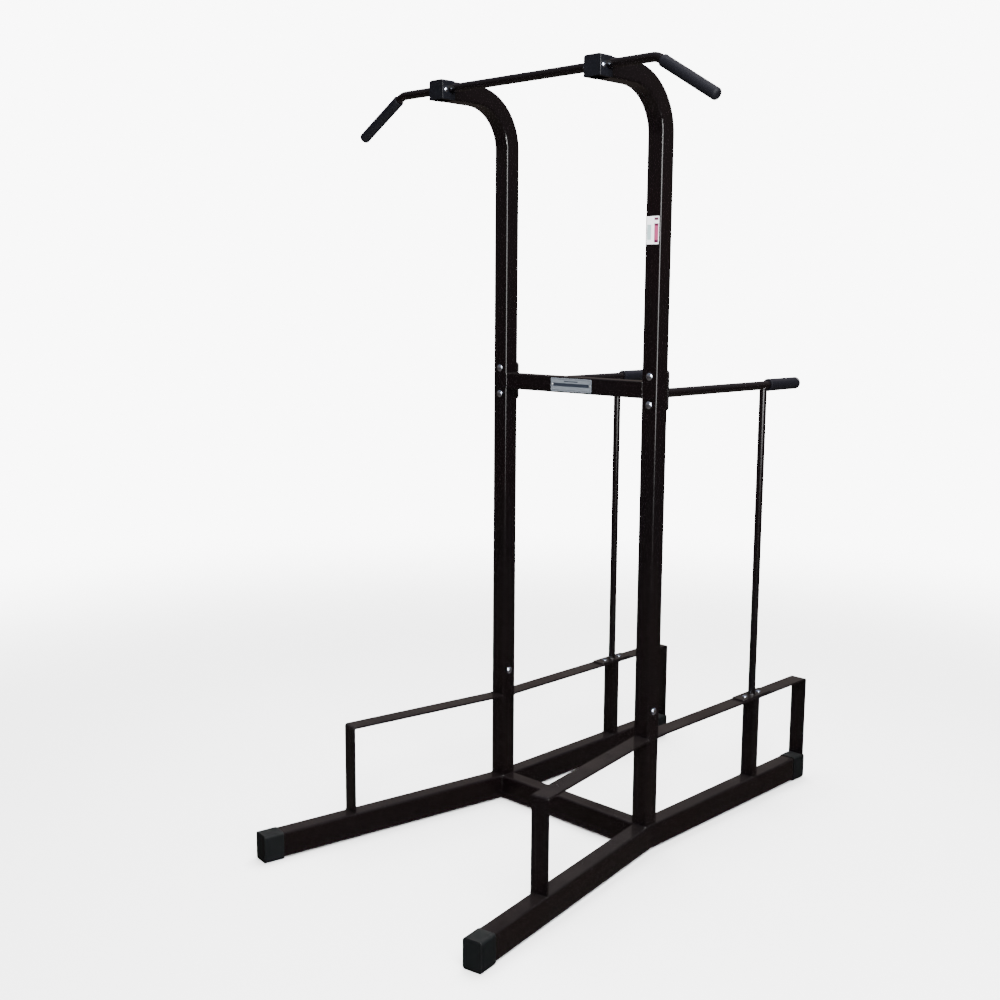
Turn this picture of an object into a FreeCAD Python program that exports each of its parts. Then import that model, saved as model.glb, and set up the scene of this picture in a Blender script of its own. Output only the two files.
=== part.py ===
"""Power tower: a free-standing frame for pull-ups, dips, push-ups and leg raises.

Frame of reference, in millimetres: X runs across the tower, +Y from the pull-up bar
towards the dip bars, +Z up. The origin is on the floor under the uprights, midway
between them, and is moved to the middle of the footprint when the files are written.
"""
import FreeCAD
import Part

import math
import os

from FreeCAD import Vector

# ---------------------------------------------------------------- overall sizes
overall_height = 2100.0       # floor to the top face of the uprights' forward arms
upright_spacing = 550.0       # centre to centre of the two uprights
front_leg_length = 817.0      # along the leg, from the upright's centre to its capped end
rear_rail_length = 800.0      # from the upright's centre to the rail's capped end
leg_splay = 9.6               # degrees that each front leg turns outwards

# ---------------------------------------------------------------- tube sections
upright_size = 50.0
upright_wall = 2.0
upright_corner = 5.0
rail_width = 50.0
rail_height = 70.0
rail_wall = 2.5
rail_corner = 5.5

# ---------------------------------------------------------------- caps and feet
foot_sole = 5.0               # thickness of a foot under the rail
foot_wall = 2.5
foot_end = 3.5                # thickness of a foot's end wall
foot_grip = 53.5              # how far a foot reaches over the rail
foot_notch = 0.5              # clearance round the push-up bar's foot

# ---------------------------------------------------------------- push-up bars (bent flat bar)
strap_width = 50.0
strap_thickness = 6.0
strap_bend = 1.5              # inner bend radius
strap_height = 330.0          # floor to the top face of the bar
front_strap_reach = 538.5     # from the upright's centre, along the leg
mid_post_width = 45.0
mid_post_depth = 25.0
mid_post_wall = 2.0
mid_post_corner = 3.0

# ---------------------------------------------------------------- uprights
splice_height = 345.0         # joint between the welded stub and the upright
sleeve_reach = 120.0          # inner sleeve, each way from the joint
sleeve_clearance = 0.2
sleeve_wall = 2.5
splice_bolt_rise = 60.0       # side bolt above the joint
arm_bend = 112.0              # inner bend radius of the forward arm
arm_reach = 276.0             # from the upright's centre to the arm's open end

# ---------------------------------------------------------------- arm caps
cap_wall = 2.0
cap_beyond_bar = 1.5          # cover behind the pull-up bar
cap_bolt_back = 10.5          # from the arm's open end

# ---------------------------------------------------------------- pull-up bar
bar_diameter = 23.0
bar_wall = 2.5
bar_to_bolt_gap = 2.5         # between the bar and the cross bolt's head
bar_drop = 20.5               # from the arm's top face to the bar's axis
bar_bend_x = 446.0            # half the distance between the bend corners
bar_bend_radius = 48.0
handle_length = 199.0         # from the bend corner to the end of the tube
handle_angle = 31.0           # degrees below level
bar_clearance = 0.3
pull_grip_wall = 4.0
pull_grip_start = 20.0        # from the bend corner
pull_grip_end = 4.0           # closed end beyond the tube

# ---------------------------------------------------------------- dip station
dip_height = 1274.0           # floor to the axis of the dip bars
dip_bar_diameter = 25.0
dip_bar_wall = 2.5
dip_bar_reach = 694.0         # from the upright's centre to the bar's end
dip_plate_height = 110.0
dip_plate_centre = 1282.5
dip_plate_thickness = 6.0
dip_plate_corner = 11.0
dip_bolt_spacing = 75.0
dip_grip_wall = 6.0
dip_grip_start = 543.0
dip_grip_end = 4.0
leg_diameter = 22.0
leg_wall = 2.0
leg_station = 521.0           # from the upright's centre to the support legs
flange_length = 148.0
flange_width = 46.0
flange_thickness = 4.0
flange_bolt_spacing = 73.0
flange_corner = 8.0

# ---------------------------------------------------------------- middle crossbar
crossbar_size = 45.0
crossbar_wall = 2.0
crossbar_corner = 3.0
crossbar_centre = 1283.5      # floor to its axis
nameplate_length = 149.0
nameplate_height = 37.0
nameplate_thickness = 0.8
nameplate_corner = 2.0
rivet_radius = 1.6
rivet_head_radius = 2.9
rivet_head_height = 1.2
rivet_inset = 5.5
label_width = 40.0
label_height = 71.0
label_thickness = 0.3
label_centre = 1698.0

# ---------------------------------------------------------------- fasteners
hole_clearance = 0.4          # on the radius
bolt_radius = 5.0
bolt_head_radius = 10.5
bolt_head_height = 5.5
cap_bolt_radius = 3.0
cap_bolt_head_radius = 6.5
cap_bolt_head_height = 3.8
flange_bolt_radius = 4.0
flange_bolt_head_radius = 8.5
flange_bolt_head_height = 4.5
washer_thickness = 1.6
nut_factor = 1.7              # nut across flats, in bolt radii times two
nut_height_factor = 0.85      # nut height, in bolt diameters
nut_chamfer = 0.96            # width of a nut's flat end, in flats
thread_beyond_nut = 3.0

# ---------------------------------------------------------------- derived places
half_spacing = upright_spacing / 2
half_tube = upright_size / 2
rail_floor = foot_sole
rail_top = rail_floor + rail_height
arm_centre = overall_height - half_tube
arm_bend_centre = arm_bend + half_tube
arm_front = -arm_reach
bar_back = cap_bolt_back + cap_bolt_head_radius + bar_to_bolt_gap + bar_diameter / 2
cap_length = cap_wall + bar_back + bar_diameter / 2 + cap_beyond_bar
bar_y = arm_front + bar_back
bar_z = overall_height - bar_drop
splice_bolt_z = splice_height + splice_bolt_rise
strap_underside = strap_height - strap_thickness
rear_strap_reach = rear_rail_length - foot_end
plate_front = half_tube
plate_back = plate_front + dip_plate_thickness
flange_top = strap_height + flange_thickness
splay = math.radians(leg_splay)

parts = {}


# ---------------------------------------------------------------- shape helpers
def rounded_face(width, height, radius):
    """A rounded rectangle centred on the origin of the XY plane."""
    w, h, r = width / 2, height / 2, radius
    if r <= 0:
        corners = [Vector(-w, -h, 0), Vector(w, -h, 0), Vector(w, h, 0), Vector(-w, h, 0), Vector(-w, -h, 0)]
        return Part.Face(Part.makePolygon(corners))
    k = r * (1 - math.sqrt(0.5))
    edges = []
    for sx, sy, turn in ((1, -1, 0), (1, 1, 1), (-1, 1, 0), (-1, -1, 1)):
        along_x = Vector(sx * (w - r), sy * h, 0)
        along_y = Vector(sx * w, sy * (h - r), 0)
        middle = Vector(sx * (w - k), sy * (h - k), 0)
        first, last = (along_x, along_y) if turn == 0 else (along_y, along_x)
        edges.append((first, middle, last))
    wire = []
    for i, (first, middle, last) in enumerate(edges):
        wire.append(Part.Arc(first, middle, last).toShape())
        following = edges[(i + 1) % 4][0]
        wire.append(Part.LineSegment(last, following).toShape())
    return Part.Face(Part.Wire(wire))


def ring_face(width, height, radius, wall):
    """The section of a rectangular tube."""
    inner = rounded_face(width - 2 * wall, height - 2 * wall, max(radius - wall, 0.5))
    return rounded_face(width, height, radius).cut(inner).Faces[0]


def placed(shape, origin, x_axis, y_axis):
    """Moves a shape drawn in the XY plane so that X and Y follow the two given axes."""
    z_axis = x_axis.cross(y_axis)
    matrix = FreeCAD.Matrix(
        x_axis.x, y_axis.x, z_axis.x, origin.x,
        x_axis.y, y_axis.y, z_axis.y, origin.y,
        x_axis.z, y_axis.z, z_axis.z, origin.z,
        0, 0, 0, 1)
    copy = shape.copy()
    copy.Placement = FreeCAD.Placement(matrix)
    return copy


X_AXIS = Vector(1, 0, 0)
Y_AXIS = Vector(0, 1, 0)
Z_AXIS = Vector(0, 0, 1)


def box(low, high):
    size = high.sub(low)
    return Part.makeBox(size.x, size.y, size.z, low)


def cylinder(radius, start, end):
    axis = end.sub(start)
    return Part.makeCylinder(radius, axis.Length, start, axis)


def pipe(diameter, wall, start, end):
    return cylinder(diameter / 2, start, end).cut(cylinder(diameter / 2 - wall, start, end))


def joined(shapes):
    return shapes[0].fuse(shapes[1:]).removeSplitter()


def mirrored(shape):
    return shape.mirror(Vector(0, 0, 0), X_AXIS)


def both_sides(name, shape):
    """Keeps a piece made for the +X side and its mirror image."""
    parts["right_" + name] = shape
    parts["left_" + name] = mirrored(shape)


def leg_point(along, off, z):
    """A point near the right front leg: along it, off to its outer side, at height z."""
    x = half_spacing + math.sin(splay) * along + math.cos(splay) * off
    y = -math.cos(splay) * along + math.sin(splay) * off
    return Vector(x, y, z)


LEG_ALONG = Vector(math.sin(splay), -math.cos(splay), 0)
LEG_SIDE = Vector(math.cos(splay), math.sin(splay), 0)


# ---------------------------------------------------------------- fasteners
def domed_bolt(head_base, direction, radius, head_radius, head_height, shank):
    """A carriage bolt: a shallow dome on head_base and a shank that runs along direction."""
    dome_radius = (head_radius ** 2 + head_height ** 2) / (2 * head_height)
    centre = head_base.add(Vector(direction).multiply(dome_radius - head_height))
    dome = Part.makeSphere(dome_radius, centre)
    slab = cylinder(head_radius, head_base.sub(Vector(direction).multiply(head_height)), head_base)
    neck = cylinder(radius, head_base, head_base.add(Vector(direction).multiply(shank)))
    return dome.common(slab).fuse(neck).removeSplitter()


def washer(face, direction, radius, outer):
    """A flat washer that lies on face, its thickness along direction."""
    end = face.add(Vector(direction).multiply(washer_thickness))
    return cylinder(outer, face, end).cut(cylinder(radius + hole_clearance / 2, face, end))


def hex_nut(face, direction, radius):
    """A chamfered hexagon nut on face, drawn with its bore at the bolt's own radius."""
    flats = nut_factor * radius * 2
    height = nut_height_factor * radius * 2
    corner = flats / math.sqrt(3)
    points = [Vector(corner * math.cos(math.pi * i / 3), corner * math.sin(math.pi * i / 3), 0) for i in range(7)]
    prism = Part.Face(Part.makePolygon(points)).extrude(Vector(0, 0, height))
    chamfer = Part.makeCone(corner + height, nut_chamfer * flats / 2, height)
    nut = prism.common(chamfer).cut(Part.makeCylinder(radius, height))
    side = X_AXIS if abs(direction.x) < 0.5 else Y_AXIS
    return placed(nut, face, side, direction.cross(side))


def fastener(face, direction, grip, radius, head_radius, head_height):
    """A bolt through a stack of thickness grip, with a washer and a nut on the far side."""
    far = face.add(Vector(direction).multiply(grip))
    nut_face = far.add(Vector(direction).multiply(washer_thickness))
    shank = grip + washer_thickness + nut_height_factor * radius * 2 + thread_beyond_nut
    return (domed_bolt(face, direction, radius, head_radius, head_height, shank),
            washer(far, direction, radius, head_radius),
            hex_nut(nut_face, direction, radius))


def fastener_group(name, places):
    """Writes like bolts as one node and their washers and nuts as two more."""
    sets = [fastener(*place) for place in places]
    parts[name + "_bolts"] = Part.makeCompound([s[0] for s in sets])
    parts[name + "_washers"] = Part.makeCompound([s[1] for s in sets])
    parts[name + "_nuts"] = Part.makeCompound([s[2] for s in sets])


# ---------------------------------------------------------------- base
def rail_solid(width, height, radius, length):
    """A solid bar along the right rear rail, starting ahead of the corner."""
    face = placed(rounded_face(width, height, radius), Vector(half_spacing, -width, rail_floor + rail_height / 2),
                  X_AXIS, Z_AXIS)
    return face.extrude(Vector(0, width + length, 0))


def leg_solid(width, height, radius, length):
    """A solid bar along the right front leg, starting behind the corner."""
    face = placed(rounded_face(width, height, radius), leg_point(-width, 0, rail_floor + rail_height / 2),
                  LEG_SIDE, Z_AXIS)
    return face.extrude(Vector(LEG_ALONG).multiply(width + length))


def mitre_side(front):
    """The half of space on one side of the mitre plane through the corner."""
    half = splay / 2
    normal = Vector(math.sin(half), -math.cos(half), 0)
    if not front:
        normal = normal.negative()
    reach = 4 * rear_rail_length
    side = Vector(normal.y, -normal.x, 0)
    face = Part.Face(Part.makePolygon([
        Vector(half_spacing, 0, -reach).add(Vector(side).multiply(s)).add(Vector(0, 0, h))
        for s, h in ((-reach, 0), (reach, 0), (reach, 2 * reach), (-reach, 2 * reach), (-reach, 0))]))
    return face.extrude(Vector(normal).multiply(reach))


def make_rails():
    inner = (rail_width - 2 * rail_wall, rail_height - 2 * rail_wall, rail_corner - rail_wall)
    outer = (rail_width, rail_height, rail_corner)
    rail_end = rear_rail_length - foot_end
    leg_end = front_leg_length - foot_end
    rail = rail_solid(*outer, rail_end).cut(rail_solid(*inner, rail_end)).common(mitre_side(False))
    leg = leg_solid(*outer, leg_end).cut(leg_solid(*inner, leg_end)).common(mitre_side(True))
    both_sides("rear_rail", rail)
    both_sides("front_leg", leg)


def make_base_crossbar():
    """A tube between the corners, its ends cut to the slope of each leg."""
    middle = rail_floor + rail_height / 2
    section = placed(ring_face(rail_width, rail_height, rail_corner, rail_wall),
                     Vector(-half_spacing, 0, middle), Y_AXIS, Z_AXIS)
    bar = section.extrude(Vector(upright_spacing, 0, 0))
    block = leg_solid(rail_width, rail_height * 2, 0, front_leg_length).common(mitre_side(True))
    block = block.fuse(rail_solid(rail_width, rail_height * 2, 0, rear_rail_length).common(mitre_side(False)))
    parts["base_crossbar"] = bar.cut(block).cut(mirrored(block))


def foot_shape():
    """A cap drawn round a rail that ends at the origin and runs towards -Z, with +Y up."""
    low = -rail_height / 2 - foot_sole
    high = rail_height / 2 + foot_wall
    shell = rounded_face(rail_width + 2 * foot_wall, high - low, rail_corner + foot_wall)
    shell.translate(Vector(0, (high + low) / 2, -foot_grip))
    body = shell.extrude(Vector(0, 0, foot_grip + foot_end))
    front = [e for e in body.Edges if e.BoundBox.ZMin > foot_end - 0.01]
    body = body.makeFillet(1.5, front)
    hollow = rounded_face(rail_width, rail_height, rail_corner)
    hollow.translate(Vector(0, 0, -foot_grip))
    return body.cut(hollow.extrude(Vector(0, 0, foot_grip)))


def make_feet():
    height = rail_floor + rail_height / 2
    rear = Vector(half_spacing, rear_rail_length - foot_end, height)
    reach = strap_width / 2 + foot_notch
    notch = box(Vector(half_spacing - reach, rear_strap_reach - strap_thickness - foot_notch, rail_top),
                Vector(half_spacing + reach, rear_strap_reach, strap_height))
    both_sides("rear_foot", placed(foot_shape(), rear, X_AXIS.negative(), Z_AXIS).cut(notch))
    front = leg_point(front_leg_length - foot_end, 0, height)
    both_sides("front_foot", placed(foot_shape(), front, LEG_SIDE, Z_AXIS))


# ---------------------------------------------------------------- push-up bars
def strap_profile(reach):
    """A flat bar that runs out level and turns down: a face in the XY plane, X out and Y up."""
    top, low, t = strap_height, rail_top, strap_thickness
    r_in, r_out = strap_bend, strap_bend + strap_thickness
    c = math.sqrt(0.5)
    cx, cy = reach - r_out, top - r_out
    outline = [
        Part.LineSegment(Vector(0, top, 0), Vector(cx, top, 0)),
        Part.Arc(Vector(cx, top, 0), Vector(cx + r_out * c, cy + r_out * c, 0), Vector(reach, cy, 0)),
        Part.LineSegment(Vector(reach, cy, 0), Vector(reach, low, 0)),
        Part.LineSegment(Vector(reach, low, 0), Vector(reach - t, low, 0)),
        Part.LineSegment(Vector(reach - t, low, 0), Vector(reach - t, cy, 0)),
        Part.Arc(Vector(reach - t, cy, 0), Vector(cx + r_in * c, cy + r_in * c, 0), Vector(cx, top - t, 0)),
        Part.LineSegment(Vector(cx, top - t, 0), Vector(0, top - t, 0)),
        Part.LineSegment(Vector(0, top - t, 0), Vector(0, top, 0)),
    ]
    return Part.Face(Part.Wire([piece.toShape() for piece in outline]))


def flange_holes(low, high):
    holes = []
    for side in (-1, 1):
        y = leg_station + side * flange_bolt_spacing / 2
        holes.append(cylinder(flange_bolt_radius + hole_clearance, Vector(half_spacing, y, low),
                              Vector(half_spacing, y, high)))
    return Part.makeCompound(holes)


def make_straps():
    post = box(Vector(half_spacing - upright_spacing, -half_tube, 0),
               Vector(half_spacing + upright_spacing, half_tube, overall_height))
    half = strap_width / 2
    rear = placed(strap_profile(rear_strap_reach), Vector(half_spacing - half, 0, 0), Y_AXIS, Z_AXIS)
    rear = rear.extrude(Vector(strap_width, 0, 0)).cut(post)
    rear = rear.cut(flange_holes(rail_top, strap_height + 1))
    both_sides("rear_push_up_bar", rear)
    start = leg_point(0, -half, 0)
    front = placed(strap_profile(front_strap_reach), start, LEG_ALONG, Z_AXIS)
    front = front.extrude(Vector(LEG_SIDE).multiply(strap_width)).cut(post)
    front = front.common(box(Vector(0, -2 * front_leg_length, 0), Vector(2 * upright_spacing, 0, overall_height)))
    both_sides("front_push_up_bar", front)


def make_mid_posts():
    section = placed(ring_face(mid_post_width, mid_post_depth, mid_post_corner, mid_post_wall),
                     Vector(half_spacing, leg_station, rail_top), X_AXIS, Y_AXIS)
    both_sides("middle_post", section.extrude(Vector(0, 0, strap_underside - rail_top)))


# ---------------------------------------------------------------- uprights
def upright_section(z):
    return placed(ring_face(upright_size, upright_size, upright_corner, upright_wall),
                  Vector(half_spacing, 0, z), X_AXIS, Y_AXIS)


def side_hole(radius, y, z):
    reach = upright_size
    return cylinder(radius, Vector(half_spacing - reach, y, z), Vector(half_spacing + reach, y, z))


def make_uprights():
    bend_z = arm_centre - arm_bend_centre
    column = upright_section(splice_height).extrude(Vector(0, 0, bend_z - splice_height))
    bend = upright_section(bend_z).revolve(Vector(0, -arm_bend_centre, bend_z), X_AXIS, 90)
    level = placed(ring_face(upright_size, upright_size, upright_corner, upright_wall),
                   Vector(half_spacing, -arm_bend_centre, arm_centre), X_AXIS, Z_AXIS)
    arm = level.extrude(Vector(0, arm_front + arm_bend_centre, 0))
    upright = joined([column, bend, arm])
    cuts = [side_hole(bolt_radius + hole_clearance, 0, splice_bolt_z),
            side_hole(bar_diameter / 2 + bar_clearance, bar_y, bar_z),
            side_hole(cap_bolt_radius + hole_clearance, arm_front + cap_bolt_back, arm_centre)]
    for side in (-1, 1):
        z = dip_plate_centre + side * dip_bolt_spacing / 2
        cuts.append(cylinder(bolt_radius + hole_clearance, Vector(half_spacing, -upright_size, z),
                             Vector(half_spacing, upright_size, z)))
    both_sides("upright", upright.cut(Part.makeCompound(cuts)))


def make_stubs():
    stub = upright_section(rail_top).extrude(Vector(0, 0, splice_height - rail_top))
    both_sides("upright_stub", stub)
    size = upright_size - 2 * upright_wall - 2 * sleeve_clearance
    section = placed(ring_face(size, size, upright_corner - upright_wall, sleeve_wall),
                     Vector(half_spacing, 0, splice_height - sleeve_reach), X_AXIS, Y_AXIS)
    sleeve = section.extrude(Vector(0, 0, 2 * sleeve_reach))
    both_sides("joint_sleeve", sleeve.cut(side_hole(bolt_radius + hole_clearance, 0, splice_bolt_z)))


# ---------------------------------------------------------------- arm caps
def make_arm_caps():
    """A cover over the arm's open end: front, top and two sides, open underneath."""
    wide = upright_size + 2 * cap_wall
    low = overall_height - upright_size
    face = placed(rounded_face(wide, upright_size + cap_wall, upright_corner + cap_wall),
                  Vector(half_spacing, arm_front - cap_wall, low + (upright_size + cap_wall) / 2), X_AXIS, Z_AXIS)
    body = face.extrude(Vector(0, cap_length, 0))
    lower = box(Vector(half_spacing - wide / 2, arm_front - cap_wall, low),
                Vector(half_spacing + wide / 2, arm_front - cap_wall + cap_length, low + 2 * upright_corner))
    upright_edges = [e for e in lower.Edges if e.BoundBox.ZLength > upright_corner
                     and e.BoundBox.YMax < arm_front]
    lower = lower.makeFillet(cap_wall, upright_edges)
    body = body.fuse(lower).removeSplitter()
    hollow = placed(rounded_face(upright_size, upright_size, upright_corner),
                    Vector(half_spacing, arm_front, arm_centre), X_AXIS, Z_AXIS).extrude(Vector(0, cap_length, 0))
    slot = box(Vector(half_spacing - half_tube, arm_front, low - 1),
               Vector(half_spacing + half_tube, arm_front + cap_length, arm_centre))
    cover = body.cut(hollow.fuse(slot))
    cover = cover.cut(side_hole(bar_diameter / 2 + bar_clearance, bar_y, bar_z))
    cover = cover.cut(side_hole(cap_bolt_radius + hole_clearance, arm_front + cap_bolt_back, arm_centre))
    both_sides("arm_cap", cover)


# ---------------------------------------------------------------- pull-up bar
def handle_direction():
    angle = math.radians(handle_angle)
    return Vector(math.cos(angle), 0, -math.sin(angle))


def bar_solid(radius, trim):
    """The bar's outline as one solid, with each handle shorter than its full length by trim."""
    turn = math.radians(handle_angle)
    tangent = bar_bend_radius * math.tan(turn / 2)
    corner = Vector(bar_bend_x, bar_y, bar_z)
    bend_start = corner.sub(Vector(tangent, 0, 0))
    bend_end = corner.add(handle_direction().multiply(tangent))
    centre = Vector(bend_start.x, bar_y, bar_z - bar_bend_radius)
    disc = placed(Part.Face(Part.Wire(Part.makeCircle(radius))), bend_start, Y_AXIS, Z_AXIS)
    middle = cylinder(radius, Vector(-bend_start.x, bar_y, bar_z), bend_start)
    bend = disc.revolve(centre, Y_AXIS, handle_angle)
    handle = cylinder(radius, bend_end, corner.add(handle_direction().multiply(handle_length - trim)))
    return joined([middle, bend, handle, mirrored(bend), mirrored(handle)])


def make_pull_up_bar():
    bar = bar_solid(bar_diameter / 2, 0).cut(bar_solid(bar_diameter / 2 - bar_wall, 0))
    parts["pull_up_bar"] = bar


def closed_grip(start, direction, length, bore_radius, wall, end_wall):
    """A rubber sleeve with a rounded closed end, over a tube that stops end_wall short of it."""
    outer = bore_radius + wall
    finish = start.add(Vector(direction).multiply(length))
    body = cylinder(outer, start, finish)
    body = body.makeFillet(min(end_wall, wall) * 1.2, body.Edges[0:3:2])
    bore = cylinder(bore_radius, start, start.add(Vector(direction).multiply(length - end_wall)))
    return body.cut(bore)


def make_pull_grips():
    corner = Vector(bar_bend_x, bar_y, bar_z)
    start = corner.add(handle_direction().multiply(pull_grip_start))
    length = handle_length - pull_grip_start + pull_grip_end
    grip = closed_grip(start, handle_direction(), length, bar_diameter / 2, pull_grip_wall, pull_grip_end)
    both_sides("pull_up_grip", grip)


# ---------------------------------------------------------------- dip station
def make_dip_plates():
    face = placed(rounded_face(upright_size, dip_plate_height, dip_plate_corner),
                  Vector(half_spacing, plate_back, dip_plate_centre), X_AXIS, Z_AXIS)
    plate = face.extrude(Vector(0, -dip_plate_thickness, 0))
    for side in (-1, 1):
        z = dip_plate_centre + side * dip_bolt_spacing / 2
        plate = plate.cut(cylinder(bolt_radius + hole_clearance, Vector(half_spacing, 0, z),
                                   Vector(half_spacing, 2 * plate_back, z)))
    both_sides("dip_plate", plate)


def make_dip_bars():
    start = Vector(half_spacing, plate_back, dip_height)
    end = Vector(half_spacing, dip_bar_reach, dip_height)
    both_sides("dip_bar", pipe(dip_bar_diameter, dip_bar_wall, start, end))
    grip_start = Vector(half_spacing, dip_grip_start, dip_height)
    length = dip_bar_reach - dip_grip_start + dip_grip_end
    grip = closed_grip(grip_start, Y_AXIS, length, dip_bar_diameter / 2, dip_grip_wall, dip_grip_end)
    both_sides("dip_grip", grip)


def make_support_legs():
    low = Vector(half_spacing, leg_station, flange_top)
    high = Vector(half_spacing, leg_station, dip_height)
    cope = cylinder(dip_bar_diameter / 2, Vector(half_spacing, 0, dip_height),
                    Vector(half_spacing, 2 * dip_bar_reach, dip_height))
    both_sides("support_leg", pipe(leg_diameter, leg_wall, low, high).cut(cope))
    face = placed(rounded_face(flange_width, flange_length, flange_corner),
                  Vector(half_spacing, leg_station, strap_height), X_AXIS, Y_AXIS)
    flange = face.extrude(Vector(0, 0, flange_thickness)).cut(flange_holes(strap_height - 1, flange_top + 1))
    both_sides("leg_flange", flange)


# ---------------------------------------------------------------- middle crossbar and plates
def make_crossbar():
    inner = half_spacing - half_tube
    section = placed(ring_face(crossbar_size, crossbar_size, crossbar_corner, crossbar_wall),
                     Vector(-inner, 0, crossbar_centre), Y_AXIS, Z_AXIS)
    bar = section.extrude(Vector(2 * inner, 0, 0))
    front = -crossbar_size / 2
    x = nameplate_length / 2 - rivet_inset
    rivets = []
    plate = placed(rounded_face(nameplate_length, nameplate_height, nameplate_corner),
                   Vector(0, front, crossbar_centre), X_AXIS, Z_AXIS)
    plate = plate.extrude(Vector(0, -nameplate_thickness, 0))
    for side in (-1, 1):
        hole = cylinder(rivet_radius, Vector(side * x, front - nameplate_thickness, crossbar_centre),
                        Vector(side * x, front + crossbar_wall, crossbar_centre))
        bar = bar.cut(hole)
        plate = plate.cut(hole)
        head = domed_bolt(Vector(side * x, front - nameplate_thickness, crossbar_centre), Y_AXIS,
                          rivet_radius, rivet_head_radius, rivet_head_height, nameplate_thickness + crossbar_wall)
        rivets.append(head)
    parts["middle_crossbar"] = bar
    parts["nameplate"] = plate
    parts["nameplate_rivets"] = Part.makeCompound(rivets)


def make_label():
    face = placed(rounded_face(label_width, label_height, 1.0),
                  Vector(half_spacing, -half_tube, label_centre), X_AXIS, Z_AXIS)
    parts["warning_label"] = face.extrude(Vector(0, -label_thickness, 0))


# ---------------------------------------------------------------- fasteners in place
def make_fasteners():
    centres = (-half_spacing, half_spacing)
    leftwards = X_AXIS.negative()
    heads = (bolt_radius, bolt_head_radius, bolt_head_height)
    splice = [(Vector(x + half_tube, 0, splice_bolt_z), leftwards, upright_size) + heads for x in centres]
    fastener_group("upright_joint", splice)
    dip = [(Vector(x, -half_tube, dip_plate_centre + side * dip_bolt_spacing / 2), Y_AXIS,
            upright_size + dip_plate_thickness) + heads for x in centres for side in (-1, 1)]
    fastener_group("dip_plate", dip)
    cap_heads = (cap_bolt_radius, cap_bolt_head_radius, cap_bolt_head_height)
    outer = half_tube + cap_wall
    cap = [(Vector(x + outer, arm_front + cap_bolt_back, arm_centre), leftwards, 2 * outer) + cap_heads
           for x in centres]
    fastener_group("arm_cap", cap)
    flange_heads = (flange_bolt_radius, flange_bolt_head_radius, flange_bolt_head_height)
    flange = [(Vector(x, leg_station + side * flange_bolt_spacing / 2, flange_top), Z_AXIS.negative(),
               flange_thickness + strap_thickness) + flange_heads for x in centres for side in (-1, 1)]
    fastener_group("leg_flange", flange)


# ---------------------------------------------------------------- build
for make in (make_rails, make_base_crossbar, make_feet, make_straps, make_mid_posts, make_uprights,
             make_stubs, make_arm_caps, make_pull_up_bar, make_pull_grips, make_dip_plates,
             make_dip_bars, make_support_legs, make_crossbar, make_label, make_fasteners):
    make()

whole = Part.makeCompound(list(parts.values())).optimalBoundingBox(False, False)
to_footprint = Vector(0, -(whole.YMin + whole.YMax) / 2, -whole.ZMin)
os.makedirs("parts", exist_ok=True)
for name, shape in parts.items():
    moved = shape.copy()
    moved.translate(to_footprint)
    moved.exportStep("parts/" + name + ".step")
    solids = len(shape.Solids)
    print(f"{name:24s} solids {solids} valid {shape.isValid()} volume {shape.Volume:12.1f}")
print("box", round(whole.XLength, 2), round(whole.YLength, 2), round(whole.ZLength, 2), "nodes", len(parts))
print("uprights stand at y", round(to_footprint.y, 3))
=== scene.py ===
"""Power tower: shaped steel, rubber and plastic pieces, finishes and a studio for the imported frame."""

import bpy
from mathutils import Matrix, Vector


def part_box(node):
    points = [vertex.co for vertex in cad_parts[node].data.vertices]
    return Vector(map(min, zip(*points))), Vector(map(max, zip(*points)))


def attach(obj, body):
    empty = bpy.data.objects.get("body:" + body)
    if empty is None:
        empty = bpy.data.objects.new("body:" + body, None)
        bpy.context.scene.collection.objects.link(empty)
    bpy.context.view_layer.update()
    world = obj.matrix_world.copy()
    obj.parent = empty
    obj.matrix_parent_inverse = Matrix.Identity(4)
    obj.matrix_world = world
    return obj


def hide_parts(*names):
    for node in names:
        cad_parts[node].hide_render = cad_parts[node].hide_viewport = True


bl_info = {
    "name": "Power Tower",
    "version": (1, 0, 0),
    "blender": (4, 5, 0),
    "location": "View3D > Sidebar > Power Tower",
    "description": "Shaped pieces, finishes and studio for a power tower frame",
    "category": "Object",
}

import math

import bpy
import numpy as np
from bpy.props import FloatProperty, FloatVectorProperty, PointerProperty
from bpy.types import Operator, Panel, PropertyGroup
from mathutils import Matrix

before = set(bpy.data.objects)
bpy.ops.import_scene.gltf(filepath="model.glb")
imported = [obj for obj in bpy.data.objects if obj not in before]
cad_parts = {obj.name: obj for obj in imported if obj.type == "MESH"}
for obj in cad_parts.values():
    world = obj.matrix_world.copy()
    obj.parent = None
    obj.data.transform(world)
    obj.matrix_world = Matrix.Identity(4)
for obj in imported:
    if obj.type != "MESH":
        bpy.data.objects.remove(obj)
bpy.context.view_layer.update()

MM = 0.001
TURN = 2 * math.pi


# ---- places on the frame
def box_of(node):
    """Lowest corner, highest corner and middle of a CAD node, in metres."""
    low, high = (np.array(corner, float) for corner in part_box(node))
    return low, high, (low + high) / 2


stub_low, stub_high, stub_mid = box_of("right_upright_stub")
HALF_SPACING, UPRIGHT_Y = stub_mid[0], stub_mid[1]
RAIL_TOP = stub_low[2]
HALF_TUBE = (stub_high[0] - stub_low[0]) / 2
SPLAY = math.radians(9.6)
LEG_ALONG = np.array([math.sin(SPLAY), -math.cos(SPLAY), 0.0])
LEG_SIDE = np.array([math.cos(SPLAY), math.sin(SPLAY), 0.0])
X, Y, Z = np.eye(3)

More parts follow.
